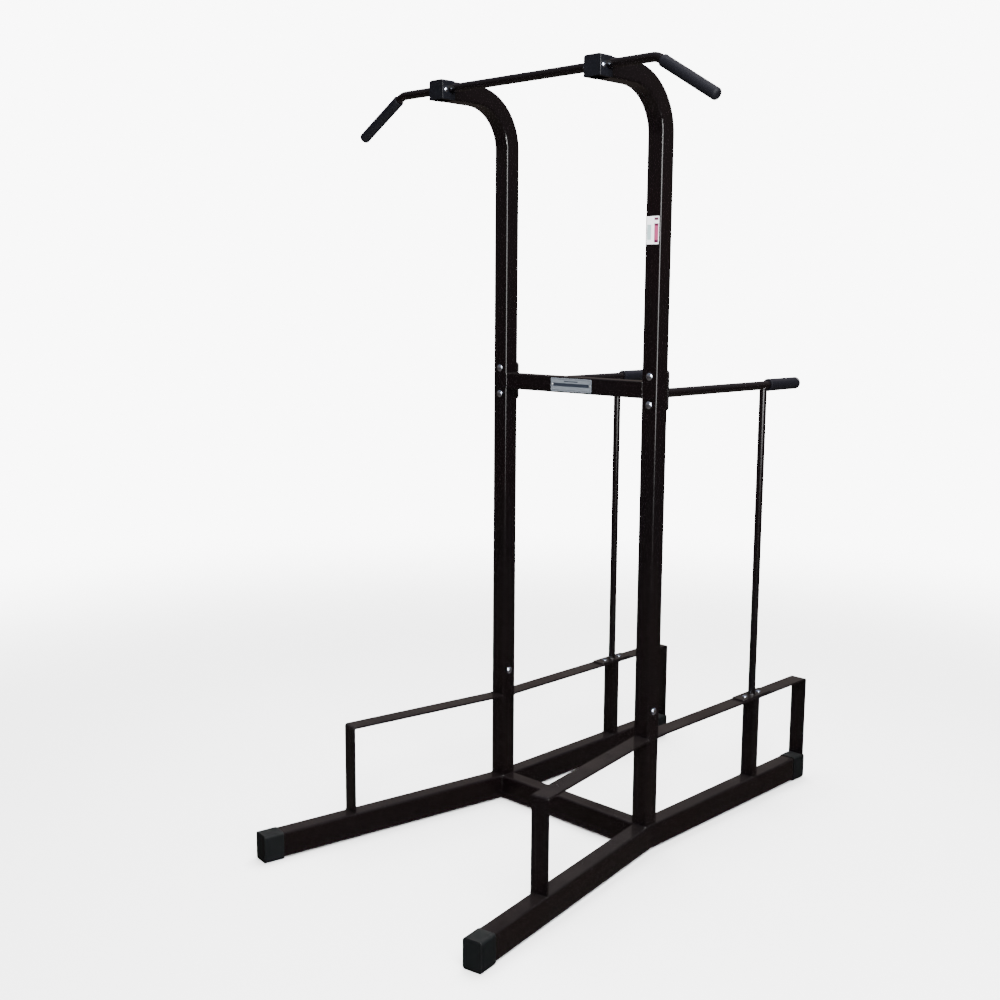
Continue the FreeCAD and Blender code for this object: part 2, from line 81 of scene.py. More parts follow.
TUBE_CORNER = 5 * MM
RAIL_SIZE = (50 * MM, 70 * MM)
RAIL_CORNER = 5.5 * MM
RAIL_MIDDLE = RAIL_TOP - RAIL_SIZE[1] / 2
STRAP_WIDTH = 50 * MM
STRAP_THICKNESS = 6 * MM
STRAP_BEND = 1.5 * MM
FRONT_STRAP_REACH = 538.5 * MM
STRAP_TOP = box_of("right_rear_push_up_bar")[1][2]
HANDLE_SLOPE = math.radians(31)
HANDLE_CORNER = 446 * MM
PULL_UP_BAR_RADIUS = 11.5 * MM
DIP_BAR_RADIUS = 12.5 * MM
SUPPORT_LEG_RADIUS = 11 * MM
PULL_UP_GRIP = {"length": 183 * MM, "wall": 4 * MM, "nose": 8 * MM}
PULL_UP_GRIP_START = 20 * MM
DIP_GRIP = {"wall": 6 * MM, "nose": 5.5 * MM}

FRONT_LEG_LENGTH = 817 * MM
# a foot's width, height and corner radius, and how far its middle stands above the rail's
FOOT_OUTSIDE = (55 * MM, 77.5 * MM, 8 * MM)
FOOT_LIFT = -1.25 * MM
FOOT_REACH = 57 * MM
FOOT_EDGE = 1.5 * MM
# radii of a cap's upper and lower corners
CAP_CORNERS = (7 * MM, 1.5 * MM)
CAP_TOP_TO_ARM = 27 * MM
CAP_WALL = 2 * MM
CAP_EDGE = 1.2 * MM

# shank radius, head radius, head height and pitch
M6 = (3 * MM, 6.5 * MM, 3.8 * MM, 1 * MM)
M8 = (4 * MM, 8.5 * MM, 4.5 * MM, 1.25 * MM)
M10 = (5 * MM, 10.5 * MM, 5.5 * MM, 1.5 * MM)
PLATE_BOLT_OFFSET = 37.5 * MM
FLANGE_BOLT_OFFSET = 36.5 * MM
FLANGE_GRIP = 9 * MM
SHARP_ANGLE = math.radians(40)

# name, place, size, share of the key light's power, whether it shines level, whether reflections show it
LIGHTS = (
    ("Key softbox", (3.0, -1.6, 4.4), (2.4, 2.4), 1.0, False, True),
    ("Overhead softbox", (-0.8, 0.9, 4.9), (4.2, 4.2), 2.6, False, False),
    ("Side window", (4.1, -2.0, 1.75), (2.6, 2.1), 0.4, True, True),
    ("Front softbox", (2.6, -3.4, 3.1), (1.0, 1.0), 0.6, False, True),
)
LIGHT_TARGET = np.array([0.0, 0.0, 0.4])
# share of the way from straight down to straight up, and the colour that reflections find there
SURROUNDINGS = ((0.0, (0.22, 0.18, 0.155)), (0.44, (0.07, 0.057, 0.053)), (0.52, (0.12, 0.098, 0.09)),
                (0.66, (0.24, 0.21, 0.195)), (0.80, (0.20, 0.20, 0.225)), (1.0, (0.34, 0.35, 0.39)))
REFLECTED_STRENGTH = 0.8
BACKDROP_STRENGTH = 9.0
CAMERA_YAW, CAMERA_PITCH, CAMERA_ROLL = (math.radians(angle) for angle in (44.2938, 8.9865, 0.3763))
CAMERA_PLACE = (2.35, UPRIGHT_Y - 2.7108, 1.5226)


def leg_point(along, off, height):
    """A point near the right front leg: along it from the upright, off to its outer side."""
    corner = np.array([HALF_SPACING, UPRIGHT_Y, 0.0])
    return corner + LEG_ALONG * along + LEG_SIDE * off + Z * height


# ---- settings
RGB = {"size": 3, "min": 0, "max": 1}


class TowerSteelSettings(PropertyGroup):
    """Sizes of the flat steel and of its powder coat."""

    edge: FloatProperty(
        name="Edge radius", description="Rounding of the cut edges of flat steel",
        default=0.9 * MM, min=0.2 * MM, max=2 * MM, unit="LENGTH")
    coat: FloatVectorProperty(
        name="Coat", description="Colour of the powder coat",
        default=(0.0016, 0.0010, 0.0012), subtype="COLOR", **RGB)
    roughness: FloatProperty(
        name="Roughness", description="Roughness of the powder coat",
        default=0.2, min=0, max=1, subtype="FACTOR")
    peel_depth: FloatProperty(
        name="Peel depth", description="Height of the coat's orange peel",
        default=0.005 * MM, min=0, max=0.3 * MM, unit="LENGTH")
    peel_size: FloatProperty(
        name="Peel size", description="Width of one orange peel cell",
        default=2.2 * MM, min=0.5 * MM, max=10 * MM, unit="LENGTH")


class TowerWeldSettings(PropertyGroup):
    """Sizes of the weld beads."""

    radius: FloatProperty(
        name="Bead radius", description="Radius of a bead's rounded section",
        default=2.1 * MM, min=1 * MM, max=4 * MM, unit="LENGTH")
    pitch: FloatProperty(
        name="Ripple pitch", description="Distance from one ripple to the next",
        default=3.2 * MM, min=1 * MM, max=8 * MM, unit="LENGTH")
    ripple: FloatProperty(
        name="Ripple depth", description="Depth of a ripple as a share of the radius",
        default=0.2, min=0, max=0.5, subtype="FACTOR")


class TowerRubberSettings(PropertyGroup):
    """Colours and sizes of the grips, feet and caps."""

    grip: FloatVectorProperty(
        name="Grip", description="Colour of the rubber grips",
        default=(0.0036, 0.0036, 0.0052), subtype="COLOR", **RGB)
    foot: FloatVectorProperty(
        name="Foot", description="Colour of the feet",
        default=(0.0022, 0.0027, 0.0030), subtype="COLOR", **RGB)
    cap: FloatVectorProperty(
        name="Cap", description="Colour of the arm caps",
        default=(0.0024, 0.0026, 0.0040), subtype="COLOR", **RGB)
    lip: FloatProperty(
        name="Lip", description="Height of the rolled lip at a grip's mouth",
        default=0.5 * MM, min=0, max=2 * MM, unit="LENGTH")
    tread: FloatProperty(
        name="Tread depth", description="Depth of the grooves across a foot's sole",
        default=1.2 * MM, min=0, max=3 * MM, unit="LENGTH")


class TowerMetalSettings(PropertyGroup):
    """Colours of the bright metal and of the printed plates."""

    zinc: FloatVectorProperty(
        name="Zinc", description="Colour of the plated fasteners",
        default=(0.62, 0.69, 0.84), subtype="COLOR", **RGB)
    plate: FloatVectorProperty(
        name="Nameplate", description="Colour of the nameplate",
        default=(0.27, 0.31, 0.36), subtype="COLOR", **RGB)
    stripe: FloatVectorProperty(
        name="Stripe", description="Colour of the nameplate's plain stripe",
        default=(0.035, 0.045, 0.065), subtype="COLOR", **RGB)
    label: FloatVectorProperty(
        name="Label", description="Colour of the label's ground",
        default=(0.74, 0.74, 0.77), subtype="COLOR", **RGB)
    band: FloatVectorProperty(
        name="Band", description="Colour of the label's plain band",
        default=(0.25, 0.04, 0.10), subtype="COLOR", **RGB)
    band_ends: FloatVectorProperty(
        name="Band ends", description="Colour of the blocks at the band's ends",
        default=(0.05, 0.004, 0.02), subtype="COLOR", **RGB)


class TowerStageSettings(PropertyGroup):
    """Floor, lights and camera."""

    floor: FloatVectorProperty(
        name="Floor", description="Colour of the floor",
        default=(0.86, 0.86, 0.86), subtype="COLOR", **RGB)
    key_power: FloatProperty(
        name="Key light", description="Power of the key light in watts",
        default=520, min=0, max=5000)
    lens: FloatProperty(
        name="Lens", description="Focal length in millimetres",
        default=46.005, min=10, max=200)


# ---- surfaces
def outline(width, height, radius, inset=0.0, steps=4, hold=0.6 * MM):
    """Points round a rectangle with rounded corners, anticlockwise, and their outward directions.

    Each corner is an arc's centre plus its radius times the unit vectors of a quarter turn, with one
    holding point a little way along each straight side. Inset draws the rectangle that much smaller.
    radius may be a pair, for the two upper and the two lower corners.
    """
    upper, lower = radius if isinstance(radius, tuple) else (radius, radius)
    turn = np.linspace(0, math.pi / 2, steps + 1)
    arc = np.stack([np.cos(turn), np.sin(turn)], -1)[np.r_[0, :steps + 1, steps]]
    slide = np.zeros_like(arc)
    slide[0, 1] = slide[-1, 0] = -hold
    units, slides, signs, radii = [], [], [], []
    for quarter in range(4):
        angle = quarter * math.pi / 2
        spin = np.array([[math.cos(angle), math.sin(angle)], [-math.sin(angle), math.cos(angle)]])
        units.append(arc @ spin)
        slides.append(slide @ spin)
        signs.append(np.sign(np.full_like(arc, 1.0) @ spin))
        radii.append(np.full(len(arc), upper if quarter < 2 else lower))
    units, slides, signs, radii = (np.concatenate(part) for part in (units, slides, signs, radii))
    inset = np.atleast_1d(np.asarray(inset, float))[:, None]
    corner = np.maximum(radii[None] - inset, 0.05 * MM)[..., None]
    half = np.array([width / 2, height / 2]) - inset[..., None]
    return signs * (half - corner) + slides + corner * units, units


def carry(sections, origins, across, upward):
    """A profile carried along a path: ring i is origins[i] + u * across[i] + v * upward[i].

    across and upward may each be one direction for the whole path.
    """
    origins, across, upward = (np.asarray(part, float).reshape(-1, 1, 3)
                               for part in (origins, across, upward))
    return origins + sections[..., :1] * across + sections[..., 1:] * upward


def quads_between(rows, cols, around=False):
    """Quads between neighbouring rings of a grid whose rings are closed; around also joins last to first."""
    here = np.arange(cols)
    there = np.roll(here, -1)
    row = np.arange(rows if around else rows - 1)[:, None]
    following = (row + 1) % rows
    return np.stack([row * cols + here, row * cols + there,
                     following * cols + there, following * cols + here], -1).reshape(-1, 4)


def outward(points, faces):
    """Turns every face over when the enclosed volume, summed face by face, comes out negative."""
    volume = 0.0
    for group in faces:
        for k in range(1, group.shape[1] - 1):
            a, b, c = points[group[:, 0]], points[group[:, k]], points[group[:, k + 1]]
            volume += np.einsum("ij,ij->", a, np.cross(b, c))
    return points, (faces if volume > 0 else [group[:, ::-1] for group in faces])


def closed(rings):
    """A skin over the rings, closed by a fan to the middle of the first and of the last."""
    rows, cols = rings.shape[:2]
    points = np.vstack([rings.reshape(-1, 3), rings[0].mean(0), rings[-1].mean(0)])
    here = np.arange(cols)
    there = np.roll(here, -1)
    tail = (rows - 1) * cols
    first = np.stack([there, here, np.full(cols, rows * cols)], -1)
    last = np.stack([tail + here, tail + there, np.full(cols, rows * cols + 1)], -1)
    return outward(points, [quads_between(rows, cols), first, last])


def looped(rings):
    """A skin over rings that run round a closed path."""
    rows, cols = rings.shape[:2]
    return outward(rings.reshape(-1, 3), [quads_between(rows, cols, around=True)])


def mirrored(shapes):
    """The same shapes on the other side of the tower, with their faces turned to point outwards."""
    return [(points * (-1, 1, 1), [group[:, ::-1] for group in faces]) for points, faces in shapes]


def linked(name, data):
    """A new object of the data, linked to the scene."""
    made = bpy.data.objects.new(name, data)
    bpy.context.scene.collection.objects.link(made)
    return made


def placed(across, up, back, place):
    """The matrix of a light or camera from its three directions and its place."""
    axes = np.stack([across, up, back], 1)
    return Matrix([[*row, part] for row, part in zip(axes, place)] + [[0, 0, 0, 1]])


def piece(name, shapes, slot, stands_for=(), material=None):
    """One mesh object from several shapes, riding on the frame, in the finish of its slot."""
    points, faces, base = [], [], 0
    for shape_points, shape_faces in shapes:
        points.append(shape_points)
        faces += [corner for group in shape_faces for corner in (group + base).tolist()]
        base += len(shape_points)
    mesh = bpy.data.meshes.new(name)
    mesh.from_pydata(np.concatenate(points).tolist(), [], faces)
    mesh.update()
    mesh.shade_smooth()
    mesh.set_sharp_from_angle(angle=SHARP_ANGLE)
    mesh.materials.append(material or finish_for(slot))
    made = linked(name, mesh)
    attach(made, "root")
    if stands_for:
        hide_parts(*stands_for)
    return made


def both_sides(name, shapes, slot, node=None):
    """The piece for the right side and its mirror image, each standing for that side's node."""
    for side, made in (("right", shapes), ("left", mirrored(shapes))):
        piece(f"{side}_{name}", made, slot, (f"{side}_{node}",) if node else ())


def rounding(radius, steps=3, hold=0.5 * MM):
    """Distances in from an end face, and the insets there, that round the end's edge by a quarter circle."""
    turn = np.linspace(0, math.pi / 2, steps + 1)
    depth = radius * (1 - np.sin(turn))[::-1]
    inset = radius * (1 - np.cos(turn))[::-1]
    return np.r_[0.0, depth, radius + hold], np.r_[radius + hold, inset, 0.0]


def slab(width, height, radius, thickness, edge, origin, across, upward):
    """A plate: its outline carried through its thickness, drawn in at both faces by a quarter circle."""
    depth, inset = rounding(edge, hold=0.3 * MM)
    depth = np.r_[depth, thickness - depth[::-1]]
    sections, _ = outline(width, height, radius, np.r_[inset, inset[::-1]], steps=6)
    through = np.cross(across, upward)
    return closed(carry(sections, origin + depth[:, None] * through, across, upward))


def turned(start, axis, along, radii, count=40):
    """A surface of revolution: at each distance along the axis a circle of the given radius."""
    axis = np.asarray(axis, float) / np.linalg.norm(axis)
    side = np.cross(axis, Y if abs(axis[1]) < 0.9 else X)
    side /= np.linalg.norm(side)
    other = np.cross(axis, side)
    angle = np.linspace(0, TURN, count, endpoint=False)
    radii = np.asarray(radii, float)
    if radii.ndim == 1:
        radii = np.repeat(radii[:, None], count, 1)
    spokes = np.cos(angle)[:, None] * side + np.sin(angle)[:, None] * other
    return closed(start + np.asarray(along)[:, None, None] * axis + radii[..., None] * spokes)


# ---- shader groups
def shader_group(name, inputs, outputs):
    """An empty shader node group with named sockets, and its two ends."""
    tree = bpy.data.node_groups.new(name, "ShaderNodeTree")
    for label, kind, default in inputs:
        socket = tree.interface.new_socket(label, in_out="INPUT", socket_type=kind)
        if default is not None:
            socket.default_value = default
    for label, kind in outputs:
        tree.interface.new_socket(label, in_out="OUTPUT", socket_type=kind)
    return tree, tree.nodes.new("NodeGroupInput"), tree.nodes.new("NodeGroupOutput")


def put(tree, kind, settings=None, **inputs):
    """Adds a node: settings are its properties, inputs are values or sockets, by name or place."""
    node = tree.nodes.new(kind)
    for key, value in (settings or {}).items():
        setattr(node, key, value)
    for key, value in inputs.items():
        socket = node.inputs[int(key[1:])] if key[0] == "i" and key[1:].isdigit() else node.inputs[key]
        if isinstance(value, bpy.types.NodeSocket):
            tree.links.new(value, socket)
        else:
            socket.default_value = value
    return node


def drive(tree, node, **sockets):
    """Links each socket to the node's input of that name."""
    for key, value in sockets.items():
        tree.links.new(value, node.inputs[key.replace("_", " ")])


def math_node(tree, operation, first, second=0.0, clamp=False):
    settings = {"operation": operation, "use_clamp": clamp}
    return put(tree, "ShaderNodeMath", settings, i0=first, i1=second).outputs[0]


def vector_math(tree, operation, first, second=(0.0, 0.0, 0.0)):
    return put(tree, "ShaderNodeVectorMath", {"operation": operation}, i0=first, i1=second).outputs[0]


def remap(tree, value, from_low, from_high, to_low, to_high):
    return put(tree, "ShaderNodeMapRange", i0=value, i1=from_low, i2=from_high,
               i3=to_low, i4=to_high).outputs[0]


def noise(tree, point, scale, detail, roughness=0.5):
    return put(tree, "ShaderNodeTexNoise", Vector=point, Scale=scale, Detail=detail,
               Roughness=roughness).outputs[0]


def object_point(tree):
    return tree.nodes.new("ShaderNodeTexCoord").outputs["Object"]


FLOAT, VECTOR = "NodeSocketFloat", "NodeSocketVector"


def orange_peel_group():
    """Soft cells of a sprayed or moulded skin: a height, and a roughness that drifts from place to place."""
    tree, start, end = shader_group(
        "Orange Peel",
        [("Cell Size", FLOAT, 2 * MM), ("Roughness", FLOAT, 0.3), ("Spread", FLOAT, 0.05)],
        [("Height", FLOAT), ("Roughness", FLOAT)])
    point = object_point(tree)
    cells = noise(tree, point, math_node(tree, "DIVIDE", 1.0, start.outputs["Cell Size"]), 1.5, 0.4)
    swing = math_node(tree, "SUBTRACT", noise(tree, point, 7.0, 3.0, 0.6), 0.5)
    swing = math_node(tree, "MULTIPLY", swing, start.outputs["Spread"])
    swing = math_node(tree, "MULTIPLY", swing, 2.0)
    rough = math_node(tree, "ADD", swing, start.outputs["Roughness"], clamp=True)
    drive(tree, end, Height=cells, Roughness=rough)
    return tree


def dust_group():
    """A thin film of dust on faces that look up, in soft patches."""
    tree, start, end = shader_group(
        "Settled Dust", [("Amount", FLOAT, 0.1), ("Patch Size", FLOAT, 0.12)], [("Mask", FLOAT)])
    normal = tree.nodes.new("ShaderNodeNewGeometry").outputs["Normal"]
    height = put(tree, "ShaderNodeSeparateXYZ", i0=normal).outputs["Z"]
    facing = remap(tree, height, 0.45, 0.98, 0.0, 1.0)
    scale = math_node(tree, "DIVIDE", 1.0, start.outputs["Patch Size"])
    patches = noise(tree, object_point(tree), scale, 5.0, 0.65)
    mask = math_node(tree, "MULTIPLY", facing, remap(tree, patches, 0.35, 0.7, 0.25, 1.0))
    drive(tree, end, Mask=math_node(tree, "MULTIPLY", mask, start.outputs["Amount"], clamp=True))
    return tree


def scuff_group():
    """Short thin marks: noise stretched along one direction and cut off high, kept to a few patches."""
    tree, start, end = shader_group(
        "Scuffs",
        [("Stretch", VECTOR, (1.0, 1.0, 1.0)), ("Amount", FLOAT, 0.3), ("Cover", FLOAT, 0.5)],
        [("Mask", FLOAT)])
    point = object_point(tree)
    marks = noise(tree, vector_math(tree, "MULTIPLY", point, start.outputs["Stretch"]), 1.0, 2.0)
    lines = remap(tree, marks, 0.62, 0.72, 0.0, 1.0)
    low = math_node(tree, "SUBTRACT", 1.0, start.outputs["Cover"])
    where = remap(tree, noise(tree, point, 14.0, 2.0), low, 0.8, 0.0, 1.0)
    mask = math_node(tree, "MULTIPLY", lines, where)
    drive(tree, end, Mask=math_node(tree, "MULTIPLY", mask, start.outputs["Amount"], clamp=True))
    return tree


def brushed_group():
    """Fine lines of brushed or rolled metal: noise drawn out along one direction."""
    tree, start, end = shader_group(
        "Brushed Lines",
        [("Stretch", VECTOR, (30.0, 4000.0, 4000.0)), ("Roughness", FLOAT, 0.3), ("Spread", FLOAT, 0.1)],
        [("Height", FLOAT), ("Roughness", FLOAT)])
    stretched = vector_math(tree, "MULTIPLY", object_point(tree), start.outputs["Stretch"])
    lines = noise(tree, stretched, 1.0, 3.0, 0.7)
    swing = math_node(tree, "SUBTRACT", lines, 0.5)
    swing = math_node(tree, "MULTIPLY", swing, start.outputs["Spread"])
    rough = math_node(tree, "ADD", swing, start.outputs["Roughness"], clamp=True)
    drive(tree, end, Height=lines, Roughness=rough)
    return tree


def band_group():
    """1 inside a box of the given half sizes about a centre, 0 outside, with a narrow soft edge."""
    tree, start, end = shader_group(
        "Printed Box",
        [("Centre", VECTOR, (0, 0, 0)), ("Half Size", VECTOR, (1, 1, 1)), ("Softness", FLOAT, 0.3 * MM)],
        [("Mask", FLOAT)])
    away = vector_math(tree, "SUBTRACT", object_point(tree), start.outputs["Centre"])
    room = vector_math(tree, "SUBTRACT", start.outputs["Half Size"], vector_math(tree, "ABSOLUTE", away))
    parts = put(tree, "ShaderNodeSeparateXYZ", i0=room)
    nearest = math_node(tree, "MINIMUM", parts.outputs["X"], parts.outputs["Z"])
    mask = math_node(tree, "DIVIDE", nearest, start.outputs["Softness"])
    drive(tree, end, Mask=math_node(tree, "ADD", mask, 0.5, clamp=True))
    return tree


def grouped(tree, maker, **inputs):
    """Places a shared group in a material, building it the first time."""
    name = {orange_peel_group: "Orange Peel", dust_group: "Settled Dust", scuff_group: "Scuffs",
            brushed_group: "Brushed Lines", band_group: "Printed Box"}[maker]
    node = tree.nodes.new("ShaderNodeGroup")
    node.node_tree = bpy.data.node_groups.get(name) or maker()
    for key, value in inputs.items():
        node.inputs[key.replace("_", " ")].default_value = value
    return node


def blend(tree, mask, first, second):
    """first where the mask is 0 and second where it is 1; each a colour or a socket."""
    node = put(tree, "ShaderNodeMix", {"data_type": "RGBA"}, i0=mask)
    for socket, value in ((node.inputs[6], first), (node.inputs[7], second)):
        if isinstance(value, bpy.types.NodeSocket):
            tree.links.new(value, socket)
        else:
            socket.default_value = (*value, 1.0)
    return node.outputs[2]


def bump(tree, height, distance):
    return put(tree, "ShaderNodeBump", Height=height, Distance=distance, Strength=1.0).outputs[0]


def finish(name, **constants):
    """A new material with one Principled shader, and the constants set on its own sockets."""
    material = bpy.data.materials.new(name)
    material.use_nodes = True
    tree = material.node_tree
    shader = tree.nodes["Principled BSDF"]
    for key, value in constants.items():
        shader.inputs[key.replace("_", " ")].default_value = value
    return material, tree, shader


def lighter(colour, amount):
    """A colour with the same amount added to each part."""
    return tuple(min(1.0, part + amount) for part in colour)


def shaded(colour, factors):
    """A colour with its parts multiplied by the factors, or by one factor."""
    return tuple((np.array(colour) * factors).tolist())


def powder_coat(name):
    """Gloss black powder coat: peel, soft gloss patches, a little dust on top and a few rubbed marks."""
    steel = bpy.context.scene.tower_steel
    material, tree, shader = finish(name, Specular_IOR_Level=0.5)
    coat = tuple(steel.coat)
    peel = grouped(tree, orange_peel_group, Cell_Size=steel.peel_size, Roughness=steel.roughness,
                   Spread=0.06)
    dust = grouped(tree, dust_group, Amount=0.022, Patch_Size=0.16).outputs["Mask"]
    scuffs = grouped(tree, scuff_group, Stretch=(260.0, 60.0, 900.0), Amount=0.35,
                     Cover=0.42).outputs["Mask"]
    tint = noise(tree, object_point(tree), 2.6, 2.0)
    colour = blend(tree, tint, shaded(coat, (1.3, 0.9, 0.85)), shaded(coat, (0.7, 1.05, 1.25)))
    colour = blend(tree, scuffs, colour, lighter(coat, 0.008))
    colour = blend(tree, dust, colour, (0.21, 0.19, 0.175))
    rough = math_node(tree, "ADD", peel.outputs["Roughness"], math_node(tree, "MULTIPLY", scuffs, 0.3))
    rough = math_node(tree, "ADD", rough, math_node(tree, "MULTIPLY", dust, 0.6), clamp=True)
    drive(tree, shader, Base_Color=colour, Roughness=rough,
          Normal=bump(tree, peel.outputs["Height"], steel.peel_depth))
    return material


def moulding(name, colour, roughness, gloss, grain, depth, scuffed):
    """Rubber or plastic moulding: fine grain, dull patches, handling marks and dust on top."""
    material, tree, shader = finish(name, Specular_IOR_Level=gloss)
    colour = tuple(colour)
    peel = grouped(tree, orange_peel_group, Cell_Size=grain, Roughness=roughness, Spread=0.1)
    dust = grouped(tree, dust_group, Amount=0.03, Patch_Size=0.05).outputs["Mask"]
    scuffs = grouped(tree, scuff_group, Stretch=(500.0, 90.0, 500.0), Amount=scuffed, Cover=0.5)
    worn = blend(tree, scuffs.outputs["Mask"], colour, lighter(colour, 0.012))
    rough = math_node(tree, "ADD", peel.outputs["Roughness"], math_node(tree, "MULTIPLY", dust, 0.4))
    drive(tree, shader, Base_Color=blend(tree, dust, worn, (0.22, 0.21, 0.20)), Roughness=rough,
          Normal=bump(tree, peel.outputs["Height"], depth))
    return material


def grip_rubber(name):
    return moulding(name, bpy.context.scene.tower_rubber.grip, roughness=0.52, gloss=0.095,
                    grain=1.1 * MM, depth=0.07 * MM, scuffed=0.5)


def foot_rubber(name):
    return moulding(name, bpy.context.scene.tower_rubber.foot, roughness=0.48, gloss=0.1,
                    grain=0.9 * MM, depth=0.06 * MM, scuffed=0.8)


def cap_plastic(name):
    return moulding(name, bpy.context.scene.tower_rubber.cap, roughness=0.36, gloss=0.24,
                    grain=0.7 * MM, depth=0.03 * MM, scuffed=0.3)


def zinc_plate(name):
    """Bright zinc: faint cloudy tint from the plating bath, fine marks from the die."""
    zinc = tuple(bpy.context.scene.tower_metal.zinc)
    material, tree, shader = finish(name, Metallic=1.0)
    clouds = remap(tree, noise(tree, object_point(tree), 160.0, 3.0), 0.35, 0.65, 0.0, 1.0)
    lines = grouped(tree, brushed_group, Stretch=(900.0, 2600.0, 900.0), Roughness=0.2, Spread=0.12)
    drive(tree, shader, Base_Color=blend(tree, clouds, zinc, shaded(zinc, (0.92, 0.9, 0.84))),
          Roughness=lines.outputs["Roughness"], Normal=bump(tree, lines.outputs["Height"], 0.01 * MM))
    return material


def rivet_metal(name):
    """Satin aluminium with turned marks."""
    material, tree, shader = finish(name, Metallic=1.0)
    lines = grouped(tree, brushed_group, Stretch=(3000.0, 900.0, 3000.0), Roughness=0.3, Spread=0.14)
    drive(tree, shader, Roughness=lines.outputs["Roughness"],
          Base_Color=blend(tree, lines.outputs["Height"], (0.72, 0.73, 0.75), (0.84, 0.85, 0.86)))
    return material


def nameplate_metal(low, high):
    """Brushed aluminium with a printed border, one plain dark stripe and a thin line above it."""
    metal = bpy.context.scene.tower_metal
    plate = tuple(metal.plate)
    middle = (low + high) / 2
    half = (high - low) / 2
    material, tree, shader = finish("Brushed nameplate", Metallic=0.75)

    def area(width, height, rise=0.0):
        """A box about the plate's middle, given by half its width, half its height and its rise."""
        centre = (middle[0], middle[1], middle[2] + rise)
        return grouped(tree, band_group, Centre=centre, Half_Size=(width, 1.0, height)).outputs["Mask"]

    lines = grouped(tree, brushed_group, Stretch=(40.0, 5000.0, 5000.0), Roughness=0.34, Spread=0.18)
    ground = blend(tree, lines.outputs["Height"], shaded(plate, 0.86), lighter(plate, 0.08))
    outer, inner = (area(half[0] - inset, half[2] - inset) for inset in (3.2 * MM, 4.0 * MM))
    border = math_node(tree, "SUBTRACT", outer, inner, clamp=True)
    printed = math_node(tree, "MAXIMUM", border, area(half[0] * 0.88, half[2] * 0.25))
    printed = math_node(tree, "MAXIMUM", printed, area(half[0] * 0.34, half[2] * 0.07, half[2] * 0.52))
    rough = math_node(tree, "ADD", lines.outputs["Roughness"], math_node(tree, "MULTIPLY", printed, 0.12))
    drive(tree, shader, Base_Color=blend(tree, printed, ground, tuple(metal.stripe)), Roughness=rough,
          Normal=bump(tree, lines.outputs["Height"], 0.012 * MM))
    return material


def label_vinyl(low, high):
    """White vinyl with a plain red band, its darker ends and a pale grey panel; nothing is written on it."""
    metal = bpy.context.scene.tower_metal
    label = tuple(metal.label)
    material, tree, shader = finish("Label vinyl", Coat_Weight=0.25)
    width, height = high[0] - low[0], high[2] - low[2]

    def area(left, right, bottom, top):
        """A box given as shares of the label's width and height."""
        centre = (low[0] + width * (left + right) / 2, low[1], low[2] + height * (bottom + top) / 2)
        size = (width * (right - left) / 2, 1.0, height * (top - bottom) / 2)
        return grouped(tree, band_group, Centre=centre, Half_Size=size).outputs["Mask"]

    fibre = noise(tree, object_point(tree), 900.0, 3.0)
    colour = blend(tree, fibre, shaded(label, 0.93), label)
    colour = blend(tree, area(0.05, 0.37, 0.16, 0.70), colour, (0.27, 0.35, 0.36))
    colour = blend(tree, area(0.62, 0.95, 0.06, 0.74), colour, tuple(metal.band))
    ends = math_node(tree, "MAXIMUM", area(0.62, 0.95, 0.06, 0.15), area(0.62, 0.95, 0.66, 0.74))
    ends = math_node(tree, "MAXIMUM", ends, area(0.62, 0.95, 0.86, 0.95))
    drive(tree, shader, Base_Color=blend(tree, ends, colour, tuple(metal.band_ends)),
          Roughness=remap(tree, fibre, 0.3, 0.7, 0.3, 0.42), Normal=bump(tree, fibre, 0.01 * MM))
    return material


FINISHES = {
    "black_powder_coat": ("Black powder coat", powder_coat),
    "grip_rubber": ("Grip rubber", grip_rubber),
    "foot_rubber": ("Foot rubber", foot_rubber),
    "cap_plastic": ("Cap plastic", cap_plastic),
    "zinc_fastener": ("Bright zinc", zinc_plate),
    "rivet_aluminium": ("Satin aluminium", rivet_metal),
}


def finish_for(slot):
    """The material of a slot, made the first time that it is asked for."""
    name, maker = FINISHES[slot]
    return bpy.data.materials.get(name) or maker(name)


